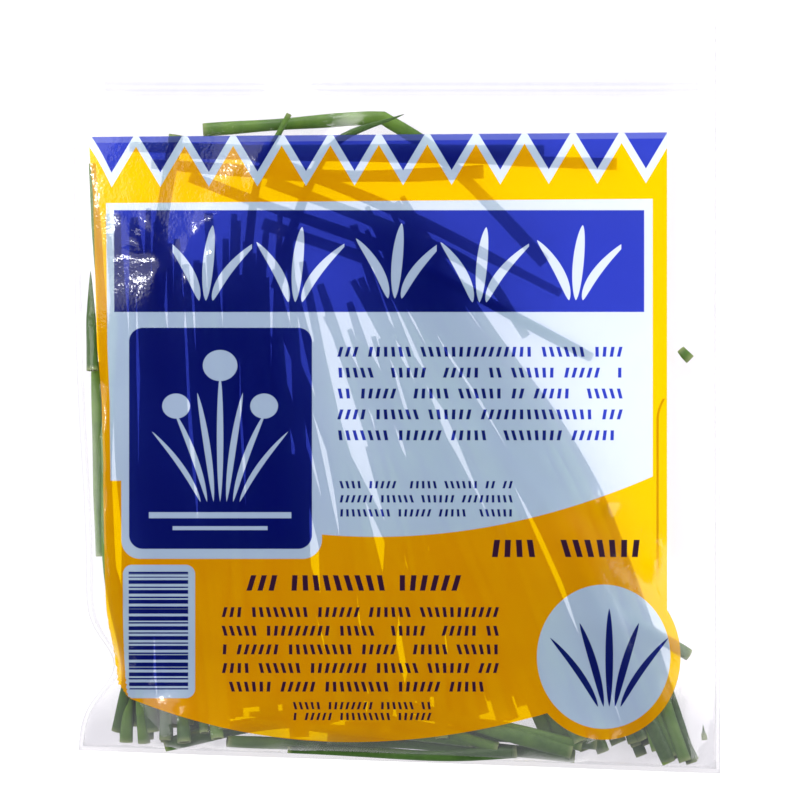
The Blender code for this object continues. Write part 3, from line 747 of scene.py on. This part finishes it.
def front_wall(heap, xs, ys, below):
    """Height of the front wall's inner face, welded to the back wall round three sides."""
    ix = np.clip(np.rint((xs - GRID_X[0]) / CELL).astype(int), 0, len(GRID_X) - 1)
    iy = np.clip(np.rint((ys - GRID_Y[0]) / CELL).astype(int), 0, len(GRID_Y) - 1)
    over_leaves = spread_high(heap.seen, LEAF_SPREAD)[ix, iy] + FILM_GAP
    least = np.maximum(below + FILM + MOUTH_GAP, over_leaves)
    over_zip = (np.abs(ys - ZIP_Y) < ZIP_HALF) & (xs > ZIP_ENDS[0] - MM) & (xs < ZIP_ENDS[1] + MM)
    least = np.where(over_zip, np.maximum(least, back_wall(xs, ys) + ZIP_FOOT + ZIP_STACK), least)
    fixed = np.zeros(xs.shape, bool)
    for weld in (np.s_[:2], np.s_[-2:], np.s_[:, :2]):
        least[weld] = below[weld] + FILM
        fixed[weld] = True
    fixed[:, -1] = True
    height = draw_tight(least, fixed)
    for _ in range(SOFTEN_SWEEPS):
        height = np.where(fixed, height, np.maximum(soften(height), least))
    edge = np.minimum(np.minimum(xs - left_edge(ys), POUCH_WIDTH / 2 - xs), ys - bottom_edge(xs))
    folds = creases(xs, ys, seed=21) * ease(edge / CALM_EDGE) * ease((CALM_TOP - ys) / CALM_TOP_REACH)
    return np.where(fixed, height, soften(height + folds))


# The fold isn't welded, so that it is less hazy than the welds
FOLD_CLEARER = 0.26 * MM


def film_mesh():
    """Both walls of the film as one closed skin, its outer and inner faces joined at welds and rim."""
    xs, ys = film_grid()
    below = back_wall(xs, ys)
    above = front_wall(heap, xs, ys, below)
    nx, ny = xs.shape
    points, flat, sheets = [], [], []
    across, upward = flat_place(xs, ys, above)

    def sheet(zs, i_from, i_to, j_from):
        index = np.full((nx, ny), -1)
        part = np.s_[i_from:i_to, j_from:]
        sheets.append(part)
        block = np.stack([xs[part], ys[part], zs[part]], axis=-1).reshape(-1, 3)
        index[part] = len(points) + np.arange(len(block)).reshape(index[part].shape)
        points.extend(block)
        flat.extend(np.column_stack([across[part].ravel(), upward[part].ravel()]))
        return index

    back_out = sheet(below, 0, nx, 0)
    front_out = sheet(above + FILM, 0, nx, 0)
    back_in = sheet(below + FILM, 1, nx - 1, 1)
    front_in = sheet(above, 2, nx - 2, 2)
    front_in = np.where(front_in < 0, back_in, front_in)

    def quads(net, part, turned):
        corners = [net[:-1, :-1], net[1:, :-1], net[1:, 1:], net[:-1, 1:]]
        faces = np.stack(corners, axis=-1)[part].reshape(-1, 4)
        return faces[:, ::-1] if turned else faces

    def ribbon(a, b):
        return np.column_stack([a[:-1], a[1:], b[1:], b[:-1]])

    whole, within = np.s_[:, :], np.s_[1 : nx - 2, 1:]
    printed = quads(front_out, whole, False)
    clear = [
        quads(back_out, whole, True),
        quads(back_in, within, False),
        quads(front_in, within, True),
        ribbon(back_out[:, 0], front_out[:, 0]),
        ribbon(front_out[0], back_out[0]),
        ribbon(back_out[-1], front_out[-1]),
        ribbon(back_in[1:-1, -1], back_out[1:-1, -1]),
        ribbon(front_out[1:-1, -1], front_in[1:-1, -1]),
    ]
    faces = [tuple(map(int, f)) for f in np.vstack([printed, *clear])]
    for i, weld in ((0, 1), (nx - 1, nx - 2)):
        low, mid, high = back_out[weld, -1], back_in[weld, -1], front_out[weld, -1]
        end = [int(back_out[i, -1]), int(front_out[i, -1]), int(high), int(mid), int(low)]
        faces.append(tuple(end if i == 0 else end[::-1]))
    mesh = bpy.data.meshes.new("pouch_film_drawn")
    mesh.from_pydata([tuple(p) for p in points], [], faces)
    finish = np.ones(len(faces), np.int32)
    finish[: len(printed)] = 0
    mesh.polygons.foreach_set("material_index", finish)
    corner = np.zeros(len(mesh.loops), np.int32)
    mesh.loops.foreach_get("vertex_index", corner)
    flat_map = mesh.uv_layers.new(name="flat_film")
    flat_map.data.foreach_set("uv", np.array(flat, np.float32)[corner].ravel())
    sides = np.minimum(xs - left_edge(ys), POUCH_WIDTH / 2 - xs)
    nearest = np.minimum(sides, ys - bottom_edge(xs) + FOLD_CLEARER)
    from_edge = mesh.attributes.new("from_edge", "FLOAT", "POINT")
    values = np.concatenate([nearest[part].ravel() for part in sheets])
    from_edge.data.foreach_set("value", values.astype(np.float32))
    mesh.shade_smooth()
    return mesh


# The print: see-through yellow, white and blue ink on the front wall's outer face, put on while the web
# was flat. Its places are in millimetres across and up the pouch, and a box is left, right, low, high.
EDGE_SOFT = 0.14
HEADER_TILT = 0.0078
PRINT_LEFT, PRINT_RIGHT, PRINT_TOP = -70.3, 62.6, 58.75
ARC_LOW, ARC_MIDDLE, ARC_LEFT, ARC_RIGHT = -82.1, -11, 0.0039, 0.0032
ZIGZAG_PERIOD, ZIGZAG_TIP, ZIGZAG_LOW, ZIGZAG_DEPTH, ZIGZAG_STROKE = 11.255, 1.42, 47.0, 9.4, 3.4
FIRST_TOOTH = -66
FRAME_BOX = (-67.4, 59.25, -60, 43.35)
# The white panel's lower edge is a shallow curve, and steps up at the left beside the square
PANEL_LOW, PANEL_MIDDLE, PANEL_CURVE = -34.5, -4.9, 0.0034
PANEL_STEP, PANEL_STEP_LOW = -18.2, -21.5
PALER_TOP, PALER_SHARE = 1.4, 0.12
BAND_BOX = (-65.6, 57.3, 17.6, 41.2)
SURROUND_BOX = (-64.0, -17.4, -39.6, 17.4)
SQUARE_BOX = (-62.1, -19.7, -37.3, 13.95)
STRIPE_BOX = (-63.6, -46.8, -71.9, -41.0)
STRIPES = (-62.2, -48.4, -70.2, -42.6)
DISC = (47.9, -62.3)
DISC_SQUEEZE = 1.08
DISC_WHITE, DISC_YELLOW = 16.7, 19.25
SPRIG_MIDDLE, SPRIG_FOOT = 49.2, -74
# The film is nipped at the print's right edge, where its ink lies double along a line
FOLD_LINE, FOLD_TOP, FOLD_FOOT, FOLD_HALF = 60.4, -2.5, -40, 0.28
FOLD_HOOK, FOLD_HOOK_BEND = 5, 0.06


def inside(distance):
    """1 where a distance in millimetres is positive, 0 where it is negative, with a soft edge."""
    return (distance / EDGE_SOFT + 0.5).clamp()


def box_depth(u, v, box, corner=0.0):
    """How far a point lies inside a box with round corners."""
    left, right, low, high = box
    du = abs(u - (left + right) / 2) - ((right - left) / 2 - corner)
    dv = abs(v - (low + high) / 2) - ((high - low) / 2 - corner)
    if not corner:
        return 0 - du.most(dv)
    outer = (du.most(0.0) ** 2 + dv.most(0.0) ** 2) ** 0.5
    return corner - outer - du.most(dv).least(0.0)


def disc_depth(u, v, centre, radius, squeeze=1.0):
    du, dv = (u - centre[0]) * squeeze, v - centre[1]
    return radius - (du * du + dv * dv) ** 0.5


def blade_depth(u, v, foot, height, lean, curl, width):
    """How far a point lies inside a leaf blade that rises from its foot, leans and curls over."""
    t = ((v - foot[1]) / height).clamp()
    middle = t * (lean + t * curl) + foot[0]
    half = (t * (1 - t) * 4) ** 0.6 * width
    return half - abs(u - middle) - 0.1


# Rows of leaf snips: the box of each block, its rows, and how tall and how far apart its snips are
SNIP_BLOCKS = (
    ((-14, 52.5, -13.4, 10.8), 5, 2.3, 1.75),
    ((-13.5, 27, -30.6, -20.8), 3, 1.7, 1.35),
    ((21.6, 56.7, -40.2, -34.2), 1, 4.0, 2.7),
    ((-35, 17.5, -47.6, -42.8), 1, 3.6, 2.5),
    ((-40.8, 23.8, -71.4, -49.8), 5, 2.3, 1.7),
    ((-24.3, 8.1, -77.4, -72.4), 2, 1.7, 1.35),
)
SNIP_SLANT, SNIP_HALF = 0.3, 0.17


def snips(u, v, blocks):
    """Blocks of rows of little slanting leaf snips, in clusters with gaps between them."""
    within, low, gap, size, pitch = 0, 0, 0, 0, 0
    for box, rows, tall, wide in blocks:
        here = box_depth(u, v, box).maths("GREATER_THAN", 0.0)
        within = here + within
        low = here * box[2] + low
        gap = here * ((box[3] - box[2]) / rows) + gap
        size = here * tall + size
        pitch = here * wide + pitch
    gap, pitch = gap.most(0.1), pitch.most(0.1)
    row = ((v - low) / gap).maths("FLOOR")
    rise = v - low - (row + 0.5) * gap
    along = u / pitch
    cell = along.maths("FLOOR")
    slant = (cell * 12.9 + row * 4.1).maths("SINE")
    aside = (along - cell - 0.5) * pitch - rise * slant * SNIP_SLANT
    cluster = (cell * 0.83 + row * 2.3).maths("SINE") + (cell * 1.9 + row * 5.1).maths("SINE")
    mark = (size * SNIP_HALF - abs(aside)).least(size / 2 - abs(rise))
    return inside(mark.least((cluster + 1.1) * 4)) * within


def together(*depths):
    """How far a point lies inside the nearest of several shapes."""
    joined = depths[0]
    for depth in depths[1:]:
        joined = joined.most(depth)
    return joined


TUFT_LEFT, TUFT_PITCH, TUFT_FOOT, TUFTS_REACH = -55, 21.4, 20.2, 52
TUFT_BLADE, TUFT_BLADE_SHORTER, TUFT_BLADE_WIDTH = 17.5, 3.5, 1.35


def tufts(u, v):
    """The band's ornament: bold curved leaf blades that fan out of five common feet."""
    along = (u - TUFT_LEFT) / TUFT_PITCH
    tuft = along.maths("FLOOR")
    sway = (tuft * 2.4).maths("SINE")
    across = (along - tuft - 0.5) * TUFT_PITCH + sway
    up = v + sway * 0.5
    blades = []
    for side in (-1, 0, 1):
        foot = (side * 1.6, TUFT_FOOT)
        height = TUFT_BLADE - TUFT_BLADE_SHORTER * abs(side)
        lean, curl = side * 3 + 0.6, side * 6 + 1
        blades.append(blade_depth(across, up, foot, height, lean, curl, TUFT_BLADE_WIDTH))
    return together(*blades).least(TUFTS_REACH - abs(u))


SQUARE_MIDDLE = -41
MIDDLE_HEAD, MIDDLE_HEAD_RADIUS = (0, 5.2), 3.6
SIDE_HEAD, SIDE_HEAD_RADIUS = (10.2, -4.2), 2.9
HEAD_SQUEEZE = 0.9
SOIL, SOIL_GAP = -29.5, 3


def flowering_chives(u, v):
    """The square's ornament: a tuft of leaves with three round flower heads, on two lines of soil."""
    side = abs(u - SQUARE_MIDDLE)
    blades = []
    for k in range(4):
        blades.append(blade_depth(side, v, (k * 1.5, -26.5), 30 - k * 4.5, k * 2.2, k * 1.6, 0.85))
    middle_head = disc_depth(side, v, MIDDLE_HEAD, MIDDLE_HEAD_RADIUS, HEAD_SQUEEZE)
    side_head = disc_depth(side, v, SIDE_HEAD, SIDE_HEAD_RADIUS, HEAD_SQUEEZE)
    bank = v - SOIL
    upper = (0.7 - abs(bank)).least(16.5 - side)
    lower = (0.45 - abs(bank + SOIL_GAP)).least(11 - side)
    return together(*blades, middle_head, side_head, upper, lower)


def print_masks(wire):
    """Masks of the ink, the white and blue in it, the blue's paler top edge and the doubled ink."""
    place = wire.node("ShaderNodeUVMap", {"uv_map": "flat_film"})
    u = (place.node("ShaderNodeSeparateXYZ", {}, {0: place}, out=0) - 0.5) * (POUCH_WIDTH / MM)
    v = (place.node("ShaderNodeSeparateXYZ", {}, {0: place}, out=1) - 0.5) * (POUCH_HEIGHT / MM)
    header = v - u * HEADER_TILT
    off = u - ARC_MIDDLE
    arc = off * off * (ARC_LEFT + (ARC_RIGHT - ARC_LEFT) * inside(off * 0.1)) + ARC_LOW
    ground = (u - PRINT_LEFT).least(PRINT_RIGHT - u).least(PRINT_TOP - header).least(v - arc)
    disc = disc_depth(u, v, DISC, DISC_WHITE, DISC_SQUEEZE)
    ink = inside(ground.most(disc + (DISC_YELLOW - DISC_WHITE)))

    narrower = (FIRST_TOOTH - u).most(0.0) * 0.35
    turn = abs(((u - narrower - ZIGZAG_TIP) / ZIGZAG_PERIOD).maths("FRACT") - 0.5) * 2
    over_zigzag = header - (1 - turn) * ZIGZAG_DEPTH - ZIGZAG_LOW

    dip = u - PANEL_MIDDLE
    step = inside(PANEL_STEP - u)
    panel_low = (dip * dip * PANEL_CURVE + PANEL_LOW) * (1 - step) + step * PANEL_STEP_LOW
    panel = box_depth(u, header, FRAME_BOX).least(v - panel_low)
    surround = box_depth(u, v, SURROUND_BOX, 4.5)
    stripe_box = box_depth(u, v, STRIPE_BOX, 2.2)
    white = inside(together(over_zigzag, panel, surround, stripe_box, disc))

    band = box_depth(u, v, BAND_BOX)
    square = box_depth(u, v, SQUARE_BOX, 3.2)
    ornament = tufts(u, v).least(band - 2).most(flowering_chives(u, v).least(square))
    fields = inside(band.most(square)) * (1 - inside(ornament))
    bars = (v * 2.9).maths("SINE") + (v * 5.3 + 1).maths("SINE") + (v * 8.3 + 2).maths("SINE") * 0.6
    stripes = (bars * 0.3 + 0.02).least(box_depth(u, v, STRIPES))
    mirrored = abs(u - SPRIG_MIDDLE)
    sprig = []
    for k in range(3):
        foot = (k * 1.3, SPRIG_FOOT)
        sprig.append(blade_depth(mirrored, v, foot, 23 - k * 3.4, k * 3.4, k * 2.2, 1.0))
    marks = snips(u, v, SNIP_BLOCKS)
    blue = fields.most(inside(together(over_zigzag - ZIGZAG_STROKE, stripes, *sprig))).most(marks)
    paler = inside(header - PRINT_TOP + PALER_TOP) * PALER_SHARE
    hook = (v - FOLD_TOP + FOLD_HOOK).most(0.0) ** 2 * FOLD_HOOK_BEND
    fold = (FOLD_HALF - abs(u - FOLD_LINE - hook)).least(FOLD_TOP - v).least((v - FOLD_FOOT) * 0.02)
    return ink, white, blue, paler, inside(fold * 0.7) * 0.75


def see_through_ink(wire, clear, glow, face, shares):
    """Thin ink that light passes straight, passes scattered, and comes back from, in three shares."""
    passing = wire.node("ShaderNodeBsdfTransparent", {}, {"Color": clear})
    scattered = wire.node("ShaderNodeBsdfTranslucent", {}, {"Color": glow})
    back = wire.node("ShaderNodeBsdfDiffuse", {}, {"Color": face})
    through, soft, lit = shares
    behind = wire.node("ShaderNodeMixShader", {}, {0: soft / (through + soft), 1: passing, 2: scattered})
    return wire.node("ShaderNodeMixShader", {}, {0: lit, 1: behind, 2: back})


# Each ink's colours for light that passes straight, passes scattered and comes back, and their shares
YELLOW_INK = ((1.0, 0.82, 0.0), (1.0, 0.8, 0.0), (1.0, 0.36, 0.0), (0.38, 0.22, 0.4))
WHITE_INK = ((1.0, 1.0, 1.0), (1.0, 1.0, 1.0), (0.54, 0.68, 0.98), (0.34, 0.24, 0.42))
BLUE_INK = ((0.053, 0.086, 0.7), (0.053, 0.086, 0.7), (0.002, 0.005, 0.2), (0.35, 0.35, 0.3))
BLUE_OVER_YELLOW = (0.022, 0.006, 0.02)
YELLOW_TWICE = (0.42, 0.17, 0.0)
PRINTED_FILM, CLEAR_FILM = (0.93, 0.9, 0.925), (0.988, 0.99, 0.998)
# The film is hazier at its welds and fold, and greyed with painted shade near the fold
WELD_SEEN = 1.3 * MM
WELD_HAZE, RIM_HAZE = 0.03, 0.09
FOLD_SHADE_TOP, FOLD_SHADE_REACH, FOLD_SHADE_SHARE = -68 * MM, 10 * MM, 0.09


def film_finish(name, printed):
    """Clear glossy film, slightly uneven, with the ink on the front wall's outer face."""
    made, wire = new_finish(name)
    place = wire.node("ShaderNodeTexCoord", out=3)
    crinkle = wire.node("ShaderNodeTexNoise", {}, {"Vector": place, "Scale": 260.0, "Detail": 3.0})
    edge = wire.node("ShaderNodeAttribute", {"attribute_name": "from_edge"}, out=2) / WELD_SEEN
    weld = (1 - edge).clamp() ** 0.3 * WELD_HAZE + (1 - edge * 3).clamp() ** 0.4 * RIM_HAZE
    passed = PRINTED_FILM if printed else CLEAR_FILM
    bare = wire.node("ShaderNodeBsdfTransparent", {}, {"Color": passed})
    frosted = wire.node("ShaderNodeBsdfDiffuse", {}, {"Color": (0.2, 0.22, 0.3)})
    # Painted shade: a grey diffuse layer is mixed into the film towards the fold, standing in for the
    # shade there.
    painted_fold_shade = wire.node("ShaderNodeBsdfDiffuse", {}, {"Color": (0.36, 0.36, 0.4)})
    up_pouch = place.node("ShaderNodeSeparateXYZ", {}, {0: place}, out=1)
    fold_shade = ((FOLD_SHADE_TOP - up_pouch) / FOLD_SHADE_REACH).clamp() * FOLD_SHADE_SHARE
    body = weld.shaders(fold_shade.shaders(bare, painted_fold_shade), frosted)
    if printed:
        ink, white, blue, paler, fold = print_masks(wire)
        yellow_ink = see_through_ink(wire, *YELLOW_INK)
        white_ink = see_through_ink(wire, *WHITE_INK)
        blue_ink = see_through_ink(wire, *BLUE_INK)
        twice = wire.node("ShaderNodeBsdfDiffuse", {}, {"Color": YELLOW_TWICE})
        lightest = white.shaders(fold.shaders(yellow_ink, twice), white_ink)
        over_yellow = wire.node("ShaderNodeBsdfDiffuse", {}, {"Color": BLUE_OVER_YELLOW})
        darkest = white.shaders(over_yellow, paler.shaders(blue_ink, white_ink))
        inks = blue.shaders(lightest, darkest)
        body = ink.shaders(body, inks)
    fine = wire.node("ShaderNodeTexNoise", {}, {"Vector": place, "Scale": 1500.0, "Detail": 0.0})
    height = crinkle + fine * 0.25
    uneven = wire.node("ShaderNodeBump", {}, {"Strength": 0.5, "Distance": 0.2 * MM, "Height": height})
    smooth = {"Color": (1, 1, 1), "Roughness": crinkle * 0.1 + 0.07, "Normal": uneven}
    gloss = wire.node("ShaderNodeBsdfGlossy", {}, smooth)
    tilt = wire.node("ShaderNodeLayerWeight", {}, {"Blend": 0.5}, out=1)
    show(wire, (tilt ** 4 * 0.5 + 0.02).shaders(body, gloss))
    return made


pouch = bpy.data.objects.new("pouch_film_drawn", film_mesh())
bpy.context.scene.collection.objects.link(pouch)
pouch.data.materials.append(film_finish("printed_film", True))
pouch.data.materials.append(film_finish("clear_film", False))
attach(pouch, "root")
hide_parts("pouch_film")


# The table: a pale backlit sheet, level and plain, with soft lamps at the top and both sides, and a pale
# room that is brighter at its walls than overhead. The camera looks straight down at the pouch.
FLOOR_SIZE = 3.0
FLOOR_TOP = -0.05 * MM
FLOOR_GLOW = 0.94
WALL_GLOW, OVERHEAD_DARKER = 0.95, 0.92
ROOM_COLOUR = (0.93, 0.96, 1.0)
FRAME_WIDTH = 0.18544
LENS = 150
SENSOR = 36


def floor_finish():
    made, wire = new_finish("pale_table")
    settings = {"Base Color": (0.3, 0.3, 0.3), "Roughness": 0.9, "Emission Color": (1, 1, 1)}
    settings["Emission Strength"] = FLOOR_GLOW
    show(wire, wire.node("ShaderNodeBsdfPrincipled", {}, settings))
    return made


def flat_panel(name, size, z):
    mesh = bpy.data.meshes.new(name)
    half = size / 2
    corners = [(-half, -half, z), (half, -half, z), (half, half, z), (-half, half, z)]
    mesh.from_pydata(corners, [], [(0, 1, 2, 3)])
    made = bpy.data.objects.new(name, mesh)
    bpy.context.scene.collection.objects.link(made)
    return made


table = flat_panel("table", FLOOR_SIZE, FLOOR_TOP)
table.data.materials.append(floor_finish())
table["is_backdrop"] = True

# Each lamp's name, place, size and power. All of them face the middle of the pouch.
for name, place, size, power in (
    ("soft_top", (-0.1, 0.75, 0.5), 0.5, 6.8),
    ("soft_left", (-0.6, 0.15, 0.6), 0.6, 3.4),
    ("soft_right", (0.85, -0.1, 0.42), 0.6, 5.0),
    ("small_left", (-0.5, 0.15, 0.75), 0.05, 1.3),
):
    lamp = bpy.data.lights.new(name, "AREA")
    lamp.size = size
    lamp.energy = power
    holder = bpy.data.objects.new(name, lamp)
    bpy.context.scene.collection.objects.link(holder)
    holder.location = place
    x, y, z = place
    holder.rotation_euler = (math.atan2(math.hypot(x, y), z), 0, math.atan2(x, -y))

world = bpy.data.worlds.new("pale_room")
world.use_nodes = True
world.node_tree.nodes.clear()
air = Wire(world.node_tree)
way = air.node("ShaderNodeTexCoord", out=0)
up = air.node("ShaderNodeSeparateXYZ", {}, {0: way}, out=2)
glow = WALL_GLOW - up.clamp() * OVERHEAD_DARKER
light = air.node("ShaderNodeBackground", {}, {"Color": ROOM_COLOUR, "Strength": glow})
out_node = world.node_tree.nodes.new("ShaderNodeOutputWorld")
world.node_tree.links.new(light.socket, out_node.inputs["Surface"])
bpy.context.scene.world = world

lens = bpy.data.cameras.new("overhead")
lens.lens = LENS
lens.sensor_width = SENSOR
camera = bpy.data.objects.new("overhead", lens)
camera.location = (EYE[0], EYE[1], PRINT_PLANE + FRAME_WIDTH * LENS / SENSOR)
bpy.context.scene.collection.objects.link(camera)
bpy.context.scene.camera = camera
bpy.context.scene.view_settings.view_transform = "Standard"
bpy.context.scene.cycles.transparent_max_bounces = 20

sizes = {"cad": cad_bounds, "visual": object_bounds()}
{key: [list(corner) for corner in box] for key, box in sizes.items()}
